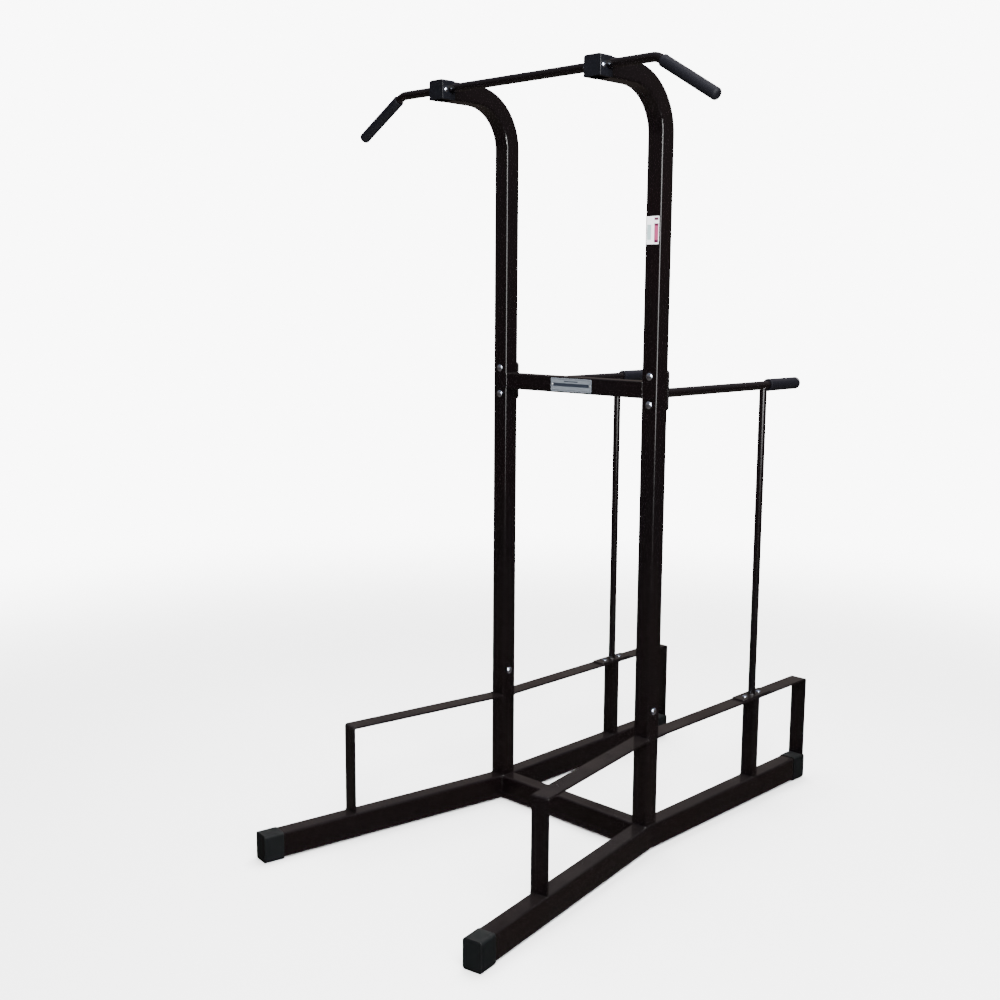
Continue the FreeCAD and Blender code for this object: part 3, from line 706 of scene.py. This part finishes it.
# ---- operators
class POWERTOWER_OT_stage(Operator):
    """Pale floor that fades into a white studio, soft lights, and the camera"""

    bl_idname = "power_tower.stage"
    bl_label = "Studio"

    def execute(self, context):
        settings = context.scene.tower_stage
        self.make_floor(settings)
        self.make_surroundings(context.scene)
        for name, place, size, share, level, glossy in LIGHTS:
            self.make_light(name, place, size, settings.key_power * share, level, glossy)
        self.make_camera(context.scene, settings)
        return {"FINISHED"}

    def make_floor(self, settings):
        """A disc of rings about the origin, z = 0, that fades out towards its rim."""
        radii = np.linspace(0.4, 6.0, 15)
        angle = np.linspace(0, TURN, 96, endpoint=False)
        circle = np.stack([np.cos(angle), np.sin(angle), np.zeros(len(angle))], -1)
        points = np.vstack([(radii[:, None, None] * circle).reshape(-1, 3), np.zeros(3)])
        here = np.arange(len(angle))
        middle = np.stack([here, np.roll(here, -1), np.full(len(here), len(points) - 1)], -1)
        quads = quads_between(len(radii), len(angle))[:, ::-1]
        mesh = bpy.data.meshes.new("floor")
        mesh.from_pydata(points.tolist(), [], quads.tolist() + middle.tolist())
        floor = linked("floor", mesh)
        floor.visible_glossy = False
        material, tree, shader = finish("Pale floor", Roughness=0.85, Specular_IOR_Level=0.2)
        mesh.materials.append(material)
        point = object_point(tree)
        tint = tuple(settings.floor)
        colour = blend(tree, noise(tree, point, 3.0, 4.0), shaded(tint, 0.985), tint)
        distance = put(tree, "ShaderNodeVectorMath", {"operation": "LENGTH"}, i0=point).outputs["Value"]
        fade = put(tree, "ShaderNodeMapRange", {"interpolation_type": "SMOOTHERSTEP"},
                   i0=distance, i1=1.5, i2=5.2, i3=1.0, i4=0.0).outputs[0]
        drive(tree, shader, Base_Color=colour, Alpha=fade)

    def make_surroundings(self, scene):
        """White behind the tower; what it reflects is a dim warm floor, a bright band and a grey ceiling."""
        world = bpy.data.worlds.new("Studio")
        scene.world = world
        world.use_nodes = True
        tree = world.node_tree
        tree.nodes.clear()
        direction = tree.nodes.new("ShaderNodeTexCoord").outputs["Generated"]
        height = put(tree, "ShaderNodeSeparateXYZ", i0=direction).outputs["Z"]
        ramp = put(tree, "ShaderNodeValToRGB", i0=remap(tree, height, -1.0, 1.0, 0.0, 1.0))
        for position, _ in SURROUNDINGS[1:-1]:
            ramp.color_ramp.elements.new(position)
        for element, (_, colour) in zip(ramp.color_ramp.elements, SURROUNDINGS):
            element.color = (*colour, 1.0)
        reflected = put(tree, "ShaderNodeBackground", Color=ramp.outputs[0], Strength=REFLECTED_STRENGTH)
        seen = put(tree, "ShaderNodeBackground", Color=(1.0, 1.0, 1.0, 1.0), Strength=BACKDROP_STRENGTH)
        camera_ray = tree.nodes.new("ShaderNodeLightPath").outputs["Is Camera Ray"]
        mix = put(tree, "ShaderNodeMixShader", i0=camera_ray, i1=reflected.outputs[0], i2=seen.outputs[0])
        put(tree, "ShaderNodeOutputWorld", Surface=mix.outputs[0])

    def make_light(self, name, place, size, power, level, glossy):
        """A rectangular soft light aimed low at the tower's middle, or held level.

        A light that is not glossy brightens surfaces without showing in their reflections.
        """
        light = bpy.data.lights.new(name, "AREA")
        light.shape = "RECTANGLE"
        light.size, light.size_y = size
        light.energy = power
        lamp = linked(name, light)
        away = np.array(place) - LIGHT_TARGET
        away /= np.linalg.norm(away)
        if level:
            away = np.array([away[0], away[1], 0.0]) / math.hypot(away[0], away[1])
        side = np.cross(Z, away)
        side = side / np.linalg.norm(side)
        lamp.matrix_world = placed(side, np.cross(away, side), away, place)
        lamp.visible_camera = False
        lamp.visible_glossy = glossy

    def make_camera(self, scene, settings):
        """A camera at eye height in front and to the right of the tower, turned by yaw, pitch and roll."""
        right = np.array([math.cos(CAMERA_YAW), math.sin(CAMERA_YAW), 0.0])
        ahead = np.array([-math.sin(CAMERA_YAW), math.cos(CAMERA_YAW), 0.0])
        forward = ahead * math.cos(CAMERA_PITCH) - Z * math.sin(CAMERA_PITCH)
        up = np.cross(right, forward)
        side = right * math.cos(CAMERA_ROLL) + up * math.sin(CAMERA_ROLL)
        top = up * math.cos(CAMERA_ROLL) - right * math.sin(CAMERA_ROLL)
        data = bpy.data.cameras.new("Camera")
        data.sensor_width = 36.0
        data.lens = settings.lens
        data.clip_start, data.clip_end = 0.05, 100.0
        scene.camera = linked("Camera", data)
        scene.camera.matrix_world = placed(side, top, -forward, CAMERA_PLACE)


class POWERTOWER_OT_frame_finish(Operator):
    """Gives the frame's own tubes, washers, nuts, rivets and label their finishes"""

    bl_idname = "power_tower.frame_finish"
    bl_label = "Frame finishes"

    def execute(self, context):
        coat, zinc = finish_for("black_powder_coat"), finish_for("zinc_fastener")
        low, high, _ = box_of("warning_label")
        finishes = {"washers": zinc, "nuts": zinc, "bolts": zinc, "rivets": finish_for("rivet_aluminium"),
                    "label": label_vinyl(low, high)}
        for name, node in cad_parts.items():
            node.data.materials.clear()
            node.data.materials.append(finishes.get(name.rsplit("_", 1)[-1], coat))
        return {"FINISHED"}


class POWERTOWER_OT_push_up_bars(Operator):
    """Flat steel bars, bent down at their ends, with rounded edges"""

    bl_idname = "power_tower.push_up_bars"
    bl_label = "Push-up bars"

    def execute(self, context):
        edge = context.scene.tower_steel.edge
        start = np.array([HALF_SPACING, UPRIGHT_Y, 0.0])
        reach = box_of("right_rear_push_up_bar")[1][1] - UPRIGHT_Y
        rear = self.bent_bar(start, Y, X, HALF_TUBE, reach, edge)
        both_sides("rear_push_up_bar_steel", [rear], "black_powder_coat", "rear_push_up_bar")
        front = self.bent_bar(start, LEG_ALONG, LEG_SIDE, HALF_TUBE, FRONT_STRAP_REACH, edge)
        both_sides("front_push_up_bar_steel", [front], "black_powder_coat", "front_push_up_bar")
        return {"FINISHED"}

    def bent_bar(self, corner, along, side, start, reach, edge):
        """A rounded flat section carried out level, round a quarter circle and down to the rail.

        The centre line is a straight, an arc of the bend radius plus half the thickness, and a straight.
        The first ring is sheared so that all of it lies in the upright's face.
        """
        middle = STRAP_BEND + STRAP_THICKNESS / 2
        turn = np.linspace(0, math.pi / 2, 9)
        out = np.r_[start, reach / 2, reach - STRAP_THICKNESS / 2 - middle + middle * np.sin(turn),
                    reach - STRAP_THICKNESS / 2, reach - STRAP_THICKNESS / 2]
        top = STRAP_TOP - STRAP_THICKNESS / 2
        up = np.r_[top, top, top - middle * (1 - np.cos(turn)), (top + RAIL_TOP) / 2, RAIL_TOP]
        tilt = np.r_[0, 0, turn, math.pi / 2, math.pi / 2]
        origins = corner + out[:, None] * along + up[:, None] * Z
        normals = np.sin(tilt)[:, None] * along + np.cos(tilt)[:, None] * Z
        sections, _ = outline(STRAP_WIDTH, STRAP_THICKNESS, edge, steps=3, hold=0.3 * MM)
        rings = carry(sections[0], origins, side, normals)
        face = UPRIGHT_Y + math.copysign(HALF_TUBE, along[1])
        rings[0] += ((face - rings[0, :, 1]) / along[1])[:, None] * along
        return closed(rings)


class POWERTOWER_OT_plates(Operator):
    """Dip bar plates and leg flanges with rounded edges, and the nameplate with a pressed rim"""

    bl_idname = "power_tower.plates"
    bl_label = "Plates"

    def execute(self, context):
        edge = context.scene.tower_steel.edge
        low, high, middle = box_of("right_dip_plate")
        origin = np.array([middle[0], high[1], middle[2]])
        plate = slab(high[0] - low[0], high[2] - low[2], 11 * MM, high[1] - low[1], edge, origin, X, Z)
        both_sides("dip_plate_steel", [plate], "black_powder_coat", "dip_plate")
        low, high, middle = box_of("right_leg_flange")
        origin = np.array([middle[0], middle[1], low[2]])
        flange = slab(high[0] - low[0], high[1] - low[1], 8 * MM, high[2] - low[2], edge, origin, X, Y)
        both_sides("leg_flange_steel", [flange], "black_powder_coat", "leg_flange")
        low, high, middle = box_of("nameplate")
        piece("nameplate_pressing", [self.pressing(low, high)], "nameplate_aluminium", ("nameplate",),
              nameplate_metal(low, high))
        return {"FINISHED"}

    def pressing(self, low, high):
        """The nameplate: its outline carried forward, over a raised rim and down to a field 0.25 mm lower."""
        size = high - low
        forward = np.array([0.0, 0.1, 0.55, 0.72, 0.8, 0.8, 0.8, 0.74, 0.58, 0.55, 0.55]) * MM
        inset = np.array([0.4, 0.0, 0.0, 0.06, 0.25, 0.6, 1.7, 1.95, 2.15, 2.4, 3.2]) * MM
        sections, _ = outline(size[0], size[2], 2 * MM, inset)
        origin = np.array([(low[0] + high[0]) / 2, high[1], (low[2] + high[2]) / 2])
        return closed(carry(sections, origin - forward[:, None] * Y, X, Z))


class POWERTOWER_OT_caps_and_feet(Operator):
    """Moulded feet with a grooved sole, and the covers over the arms' ends"""

    bl_idname = "power_tower.caps_and_feet"
    bl_label = "Caps and feet"

    def execute(self, context):
        tread = context.scene.tower_rubber.tread
        rail = (*RAIL_SIZE, RAIL_CORNER)
        rear_face = box_of("right_rear_foot")[1][1]
        wall = rear_face - box_of("right_rear_rail")[1][1]
        foot = (FOOT_OUTSIDE, FOOT_LIFT, rail, FOOT_REACH, wall, FOOT_EDGE)
        rear = self.cup(*foot, np.array([HALF_SPACING, rear_face, RAIL_MIDDLE]), -Y, X, tread)
        both_sides("rear_foot_moulding", [rear], "foot_rubber", "rear_foot")
        front = self.cup(*foot, leg_point(FRONT_LEG_LENGTH, 0.0, RAIL_MIDDLE), -LEG_ALONG, LEG_SIDE, tread)
        both_sides("front_foot_moulding", [front], "foot_rubber", "front_foot")
        low, high, middle = box_of("right_arm_cap")
        tall = high[2] - low[2] - 0.3 * MM
        arm = high[2] - CAP_TOP_TO_ARM
        cover = self.cup((high[0] - low[0], tall, CAP_CORNERS), high[2] - tall / 2 - arm,
                         (2 * HALF_TUBE, 2 * HALF_TUBE, TUBE_CORNER), high[1] - low[1], CAP_WALL, CAP_EDGE,
                         np.array([middle[0], low[1], arm]), Y, X, 0.0)
        both_sides("arm_cap_moulding", [cover], "cap_plastic", "arm_cap")
        return {"FINISHED"}

    def cup(self, outer, lift, inner, depth, wall, edge, face, back, across, tread):
        """A cup over a tube's end, its axis running back from the middle of its closed face.

        outer and inner are width, height and corner radius, and lift raises the outer outline.
        The outer outline is drawn in at the closed face by a quarter circle and at the mouth by a small
        one, then changes to the inner outline and runs back to the end wall. Grooves across the sole lift
        the lower points by tread times a rounded square wave of the distance along the axis.
        """
        into, inset = rounding(edge, hold=0.4 * MM)
        lip, lip_inset = rounding(0.5 * MM, hold=0.3 * MM)
        side = np.linspace(into[-1], depth - lip[-1], 60)[1:-1]
        along = np.r_[into, side, depth - lip[::-1], depth, wall]
        insets = np.r_[inset, np.zeros(len(side)), lip_inset[::-1], 0.0, 0.0]
        skin, units = outline(*outer, inset=insets, steps=5)
        lining, _ = outline(*inner, steps=5)
        skin[:, :, 1] += lift
        wave = np.clip(0.5 + 1.6 * np.sin((along - 6 * MM) * TURN / (8 * MM)), 0, 1)
        wave *= (along > 5 * MM) & (along < depth - 5 * MM)
        skin[:, :, 1] += tread * wave[:, None] * np.clip(-units[:, 1] * 2 - 1, 0, 1)
        skin[-2:] = lining[0]
        return closed(carry(skin, face + along[:, None] * back, across, Z))


class POWERTOWER_OT_grips(Operator):
    """Rubber sleeves on the pull-up bar and on the dip bars"""

    bl_idname = "power_tower.grips"
    bl_label = "Grips"

    def execute(self, context):
        lip = context.scene.tower_rubber.lip
        _, high, middle = box_of("pull_up_bar")
        slope = np.array([math.cos(HANDLE_SLOPE), 0.0, -math.sin(HANDLE_SLOPE)])
        corner = np.array([HANDLE_CORNER, middle[1], high[2] - PULL_UP_BAR_RADIUS])
        start = corner + slope * PULL_UP_GRIP_START
        sleeve = self.sleeve(start, slope, PULL_UP_BAR_RADIUS, lip, **PULL_UP_GRIP)
        both_sides("pull_up_grip_sleeve", [sleeve], "grip_rubber", "pull_up_grip")
        low, high, middle = box_of("right_dip_grip")
        start = np.array([middle[0], low[1], middle[2]])
        sleeve = self.sleeve(start, Y, DIP_BAR_RADIUS, lip, high[1] - low[1], **DIP_GRIP)
        both_sides("dip_grip_sleeve", [sleeve], "grip_rubber", "dip_grip")
        return {"FINISHED"}

    def sleeve(self, start, axis, bore, lip, length, wall, nose):
        """A sleeve turned about its bar: from the bore's closed end back to the mouth, over a rolled lip,
        along the outside and round the nose to the axis.

        The lip is a half sine wave 5 mm long that ends in a groove, and a second shallow groove runs
        round before the nose.
        """
        outer = bore + wall - lip
        turn = np.linspace(0, math.pi / 2, 8)
        body = np.linspace(1.3 * MM, length - nose, 90)
        swell = np.sin(np.clip((body - MM) / (5 * MM), 0, 1) * math.pi)
        groove = np.exp(-((body - 8 * MM) / (0.9 * MM)) ** 2)
        ring = np.exp(-((body - (length - nose - 9 * MM)) / (1.1 * MM)) ** 2)
        skin = outer + lip * swell - 0.5 * lip * (groove + ring)
        along = np.r_[length - 4 * MM, 0.2 * MM, MM * (1 - np.cos(turn)), body,
                      length - nose + nose * np.sin(turn[1:])]
        radii = np.r_[bore, bore, outer - MM * (1 - np.sin(turn)), skin,
                      outer - nose * (1 - np.cos(turn[1:]))]
        return turned(start, axis, along, radii, count=48)


class POWERTOWER_OT_welds(Operator):
    """Rippled weld beads where the tubes, bars and plates meet"""

    bl_idname = "power_tower.welds"
    bl_label = "Welds"

    def execute(self, context):
        self.settings = context.scene.tower_weld
        upright = np.array([HALF_SPACING, UPRIGHT_Y, 0.0])
        tube = (2 * HALF_TUBE, 2 * HALF_TUBE, TUBE_CORNER)
        base = self.round_section(*tube, upright + RAIL_TOP * Z, X, Y, Z)
        face = upright - X * HALF_TUBE + Z * RAIL_MIDDLE
        inner = self.round_section(*RAIL_SIZE, RAIL_CORNER, face, Y, Z, -X, bend=self.follow_leg)
        both_sides("upright_base_welds", [base, inner, self.mitre(HALF_TUBE)], "black_powder_coat")

        low, high, middle = box_of("right_middle_post")
        size = (high[0] - low[0], high[1] - low[1], 3 * MM)
        foot = self.round_section(*size, np.array([*middle[:2], low[2]]), X, Y, Z)
        head = self.round_section(*size, np.array([*middle[:2], high[2]]), X, Y, -Z)
        both_sides("middle_post_welds", [foot, head], "black_powder_coat")

        bar = (STRAP_WIDTH, STRAP_THICKNESS, 1 * MM)
        level = (STRAP_TOP - STRAP_THICKNESS / 2) * Z
        rear = self.round_section(*bar, upright + Y * HALF_TUBE + level, X, Z, Y)
        ahead = upright - Y * HALF_TUBE + X * HALF_TUBE * math.tan(SPLAY)
        front = self.round_section(*bar, ahead + level, X, Z, -Y)
        toe = self.round_section(*bar, leg_point(FRONT_STRAP_REACH - STRAP_THICKNESS / 2, 0.0, RAIL_TOP),
                                 LEG_SIDE, LEG_ALONG, Z)
        both_sides("push_up_bar_welds", [rear, front, toe], "black_powder_coat")

        _, back, plate = box_of("right_dip_plate")
        _, _, dip = box_of("right_dip_grip")
        _, _, leg = box_of("right_support_leg")
        _, flange, _ = box_of("right_leg_flange")
        root = self.ring(DIP_BAR_RADIUS, np.array([plate[0], back[1], dip[2]]), X, Z, Y)
        ankle = self.ring(SUPPORT_LEG_RADIUS, np.array([*leg[:2], flange[2]]), X, Y, Z)
        saddle = self.saddle(SUPPORT_LEG_RADIUS, DIP_BAR_RADIUS, np.array([*leg[:2], dip[2]]))
        both_sides("dip_bar_welds", [root, ankle, saddle], "black_powder_coat")

        low, high, middle = box_of("middle_crossbar")
        end = self.round_section(high[1] - low[1], high[2] - low[2], 3 * MM,
                                 np.array([high[0], middle[1], middle[2]]), Y, Z, -X)
        both_sides("middle_crossbar_weld", [end], "black_powder_coat")
        return {"FINISHED"}

    def bead(self, path, first, second, around=True):
        """A bead along a seam: circles in the plane of the two directions, whose radius falls at each ripple.

        The path is first divided evenly. At distance s and angle a the radius is the bead radius times
        1 - ripple * (1 - |sin(pi * (s - lag) / pitch)|), where lag grows towards the bead's crown, so that
        each ripple is an arc, and a slow wave of 6% keeps the bead from looking drawn by a machine.
        """
        weld = self.settings
        first, second = (np.broadcast_to(part, path.shape) for part in (first, second))
        if around:
            path, first, second = (np.vstack([part, part[:1]]) for part in (path, first, second))
        steps = np.linalg.norm(np.diff(path, axis=0), axis=1)
        reach = np.r_[0, np.cumsum(steps)]
        ripples = max(2, round(reach[-1] / weld.pitch))
        count = ripples * 6
        s = np.linspace(0, reach[-1], count, endpoint=not around)
        path, first, second = (np.stack([np.interp(s, reach, part[:, k]) for k in range(3)], 1)
                               for part in (path, first, second))
        first /= np.linalg.norm(first, axis=1, keepdims=True)
        second /= np.linalg.norm(second, axis=1, keepdims=True)
        angle = np.linspace(0, TURN, 14, endpoint=False)
        pitch = reach[-1] / ripples
        lag = 0.35 * pitch * np.cos(angle - math.pi / 4)
        wave = np.abs(np.sin(math.pi * (s[:, None] - lag) / pitch))
        slow = 1 + 0.06 * np.sin(TURN * 3 * s / reach[-1] + 0.7)[:, None]
        radius = weld.radius * slow * (1 - weld.ripple * (1 - wave))
        rings = path[:, None] + radius[..., None] * (np.cos(angle)[:, None] * first[:, None]
                                                    + np.sin(angle)[:, None] * second[:, None])
        return looped(rings) if around else closed(rings)

    def round_section(self, width, height, radius, origin, across, upward, out, bend=None):
        """The seam round a rounded rectangle standing on a face: its outline, with the outline's own
        outward direction and the face's normal as the bead's two directions."""
        points, units = outline(width, height, radius, steps=6)
        path = carry(points[0], origin, across, upward)[0]
        first = units[:, :1] * across + units[:, 1:] * upward
        if bend is not None:
            path = bend(path)
        return self.bead(path, first, out)

    def ring(self, radius, origin, across, upward, out):
        """The seam round a circle standing on a face."""
        angle = np.linspace(0, TURN, 64, endpoint=False)
        first = np.cos(angle)[:, None] * across + np.sin(angle)[:, None] * upward
        return self.bead(origin + radius * first, first, out)

    def saddle(self, radius, bar_radius, origin):
        """Where an upright tube meets the underside of a level bar along Y: x and y go round the tube's
        circle, and z is minus the root of the bar radius squared less x squared."""
        angle = np.linspace(0, TURN, 64, endpoint=False)
        first = np.cos(angle)[:, None] * X + np.sin(angle)[:, None] * Y
        drop = np.sqrt(bar_radius ** 2 - (radius * np.cos(angle)) ** 2)
        return self.bead(origin + radius * first - drop[:, None] * Z, first, -Z)

    def follow_leg(self, path):
        """Moves the part of the seam ahead of the mitre out to the splayed leg's inner face."""
        along = (UPRIGHT_Y - path[:, 1]) / math.cos(SPLAY) - HALF_TUBE * math.tan(SPLAY)
        face = HALF_SPACING - HALF_TUBE * math.cos(SPLAY) + math.sin(SPLAY) * along
        moved = path.copy()
        moved[:, 0] = np.maximum(path[:, 0], face)
        return moved

    def mitre(self, half):
        """The upright seam on the outer side where the front leg meets the rear rail."""
        turn = SPLAY / 2
        out = np.array([math.cos(turn), math.sin(turn), 0.0])
        corner = np.array([HALF_SPACING, UPRIGHT_Y, 0.0]) + out * (half / math.cos(turn) - 1.2 * MM)
        height = np.linspace(RAIL_TOP - RAIL_SIZE[1] + 6 * MM, RAIL_TOP - 3 * MM, 30)
        path = corner + height[:, None] * Z
        return self.bead(path, out, np.cross(Z, out), around=False)


class POWERTOWER_OT_fasteners(Operator):
    """Domed bolt heads, and threaded ends beyond the nuts"""

    bl_idname = "power_tower.fasteners"
    bl_label = "Fasteners"

    def execute(self, context):
        sides = (-HALF_SPACING, HALF_SPACING)
        pairs = [(x, sign) for x in sides for sign in (-1, 1)]
        _, plate_high, plate = box_of("right_dip_plate")
        _, _, splice = box_of("upright_joint_bolts")
        _, _, cap = box_of("arm_cap_bolts")
        _, flange_high, leg = box_of("right_leg_flange")
        cover = box_of("right_arm_cap")[1][0] - HALF_SPACING
        front = UPRIGHT_Y - HALF_TUBE
        self.make("upright_joint_bolts", M10, -X, 2 * HALF_TUBE,
                  [(x + HALF_TUBE, UPRIGHT_Y, splice[2]) for x in sides])
        self.make("dip_plate_bolts", M10, Y, plate_high[1] - front,
                  [(x, front, plate[2] + sign * PLATE_BOLT_OFFSET) for x, sign in pairs])
        self.make("arm_cap_bolts", M6, -X, 2 * cover, [(x + cover, cap[1], cap[2]) for x in sides])
        self.make("leg_flange_bolts", M8, -Z, FLANGE_GRIP,
                  [(x, leg[1] + sign * FLANGE_BOLT_OFFSET, flange_high[2]) for x, sign in pairs])
        return {"FINISHED"}

    def make(self, node, sizes, direction, grip, places):
        """One piece with a head and a threaded shank for each place under a head; grip is what it clamps."""
        radius, head_radius, head_height, pitch = sizes
        length = grip + 1.6 * MM + 1.7 * radius + 3 * MM
        shapes = []
        for place in places:
            shapes.append(self.head(np.array(place), direction, head_radius, head_height))
            shapes.append(self.shank(np.array(place), direction, radius, pitch, length))
        piece(node + "_zinc", shapes, "zinc_fastener", (node,))

    def head(self, face, direction, radius, height):
        """A domed head: a thin upright rim, a small fillet and then a spherical cap to the crown."""
        rim = 0.22 * height
        rise = height - rim
        ball = (radius ** 2 + rise ** 2) / (2 * rise)
        reach = np.linspace(1.0, 0.0, 14)[:-1]
        r = radius * 0.985 * reach
        cap = rim + np.sqrt(ball ** 2 - r ** 2) - (ball - rise)
        along = -np.r_[0.0, 0.0, rim * 0.8, cap]
        radii = np.r_[radius * 0.9, radius, radius, r]
        return turned(face, direction, along, radii, count=36)

    def shank(self, face, direction, radius, pitch, length):
        """A shank whose end carries a thread: radius less depth times a triangle wave of
        (distance / pitch - angle / turn), tapered off over the last millimetre."""
        depth = 0.11 * radius
        bare = max(length - 22 * MM, 0.3 * length)
        along = np.r_[0.0, bare, np.arange(bare + 0.3 * MM, length, pitch / 6)]
        angle = np.linspace(0, 1, 36, endpoint=False)
        phase = (along[:, None] / pitch - angle) % 1.0
        tooth = 2 * np.abs(phase - 0.5)
        tooth[:2] = 0.0
        taper = np.clip((length - along) / (1.0 * MM), 0, 1)[:, None]
        radii = radius - depth * tooth - 0.25 * radius * (1 - taper)
        return turned(face, direction, along, radii, count=36)


class POWERTOWER_PT_sidebar(Panel):
    """Lists the tower's pieces and their settings"""

    bl_label = "Power Tower"
    bl_idname = "POWERTOWER_PT_sidebar"
    bl_space_type = "VIEW_3D"
    bl_region_type = "UI"
    bl_category = "Power Tower"

    def draw(self, context):
        for name, group in SETTINGS.items():
            box = self.layout.box()
            for key in group.__annotations__:
                box.prop(getattr(context.scene, name), key)
        for operator in OPERATORS:
            self.layout.operator(operator.bl_idname)


SETTINGS = {
    "tower_steel": TowerSteelSettings,
    "tower_weld": TowerWeldSettings,
    "tower_rubber": TowerRubberSettings,
    "tower_metal": TowerMetalSettings,
    "tower_stage": TowerStageSettings,
}
OPERATORS = (POWERTOWER_OT_stage, POWERTOWER_OT_frame_finish, POWERTOWER_OT_push_up_bars,
             POWERTOWER_OT_plates, POWERTOWER_OT_caps_and_feet, POWERTOWER_OT_grips,
             POWERTOWER_OT_welds, POWERTOWER_OT_fasteners)


def register():
    for group in (*SETTINGS.values(), *OPERATORS, POWERTOWER_PT_sidebar):
        bpy.utils.register_class(group)
    for name, group in SETTINGS.items():
        setattr(bpy.types.Scene, name, PointerProperty(type=group))


def unregister():
    for name in SETTINGS:
        delattr(bpy.types.Scene, name)
    for group in (POWERTOWER_PT_sidebar, *reversed(OPERATORS), *SETTINGS.values()):
        bpy.utils.unregister_class(group)


def main():
    register()
    for operator in OPERATORS:
        category, name = operator.bl_idname.split(".")
        getattr(getattr(bpy.ops, category), name)()


if __name__ == "__main__":
    main()
